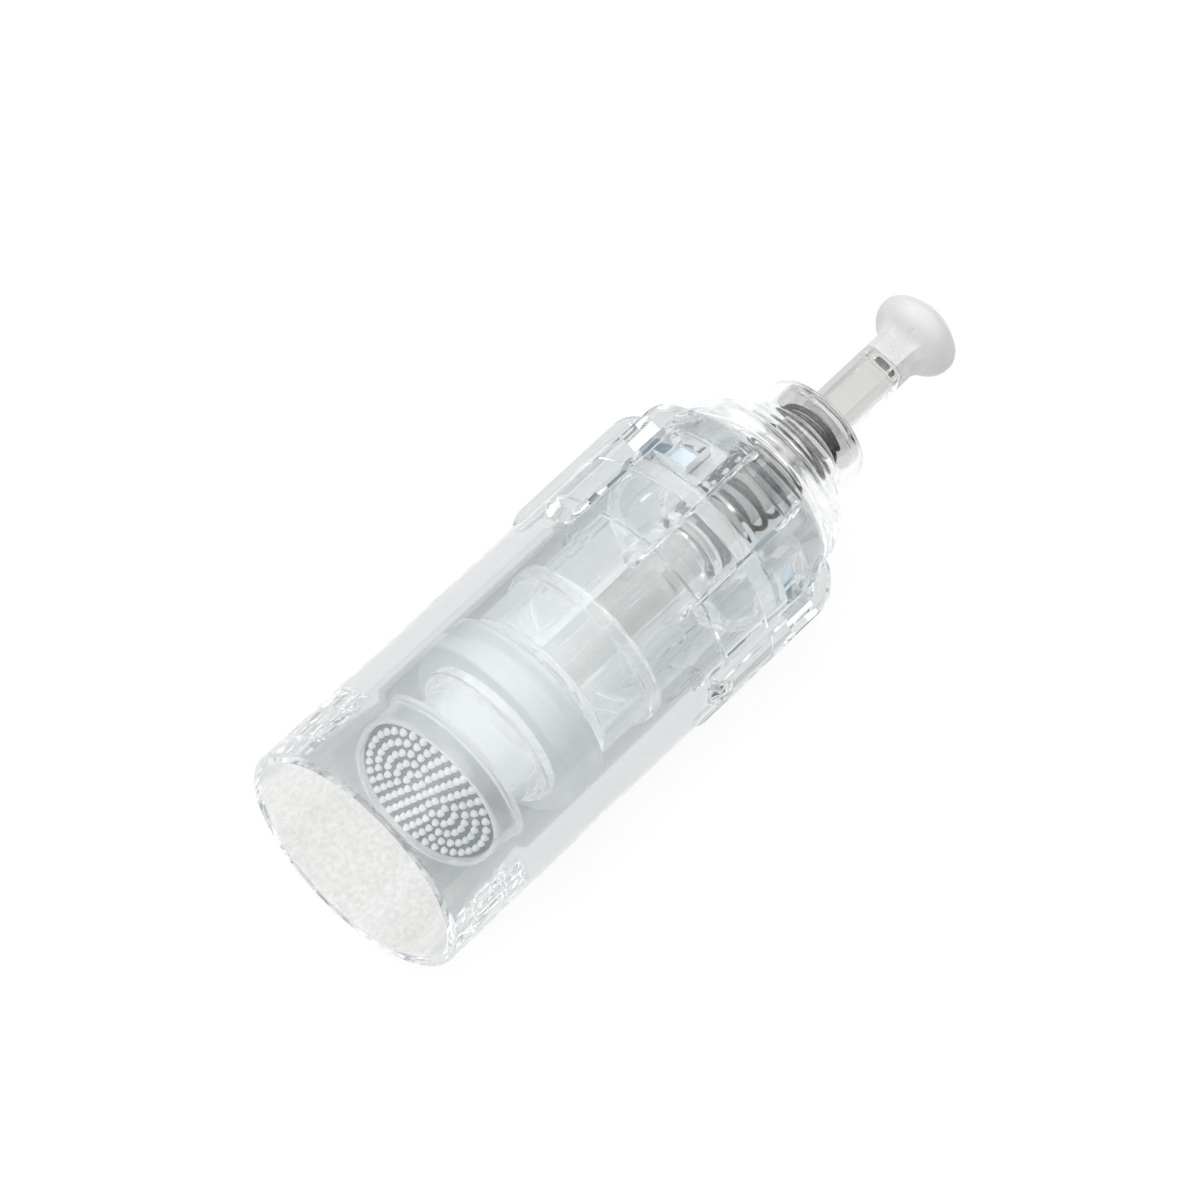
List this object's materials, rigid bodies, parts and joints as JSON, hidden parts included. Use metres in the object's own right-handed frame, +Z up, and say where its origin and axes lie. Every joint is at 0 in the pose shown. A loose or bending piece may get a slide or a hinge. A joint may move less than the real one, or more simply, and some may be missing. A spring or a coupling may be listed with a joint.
{
  "type": "skin needling cartridge",
  "caption": "Clear snap-in cartridge for a skin-treatment pen: a sprung plunger slides a flanged needle chip forward inside a round nozzle; ribbed bayonet rear end.",
  "frame": {"origin": "centre of the open mouth of the nozzle, in the plane of its rim", "axes": "+X runs along the cartridge's axis from the mouth to the drive head; +Z is up with the cartridge lying on its side on two bayonet ribs and the mouth rim; +Y is sideways"},
  "size_m": [0.0455, 0.0148, 0.0146],
  "materials": {
    "clear_shell": "gloss",
    "clear_rear": "gloss",
    "clear_inner": "gloss",
    "clear_rod": "gloss",
    "milky_plastic": "satin",
    "silicone": "satin",
    "frosted_plastic": "satin",
    "chip": "gloss",
    "spring_steel": "satin"
  },
  "bodies": {
    "shell": {"nozzle_shell": "clear_shell", "guide_plate": "clear_inner", "rear_housing": "clear_rear", "return_spring": "spring_steel"},
    "plunger": {"push_rod": "clear_rod", "drive_head": "milky_plastic", "carrier": "clear_inner", "wiper_seal": "silicone", "tip_holder": "frosted_plastic", "needle_chip": "chip"}
  },
  "joints": [
    {"name": "plunger_slide", "type": "slide", "parent": "shell", "child": "plunger", "axis": [-1, 0, 0], "range_m": [0, 0.0059], "stiffness_N_per_m": 190, "springref_m": -0.0015, "deforming": ["return_spring"]}
  ]
}
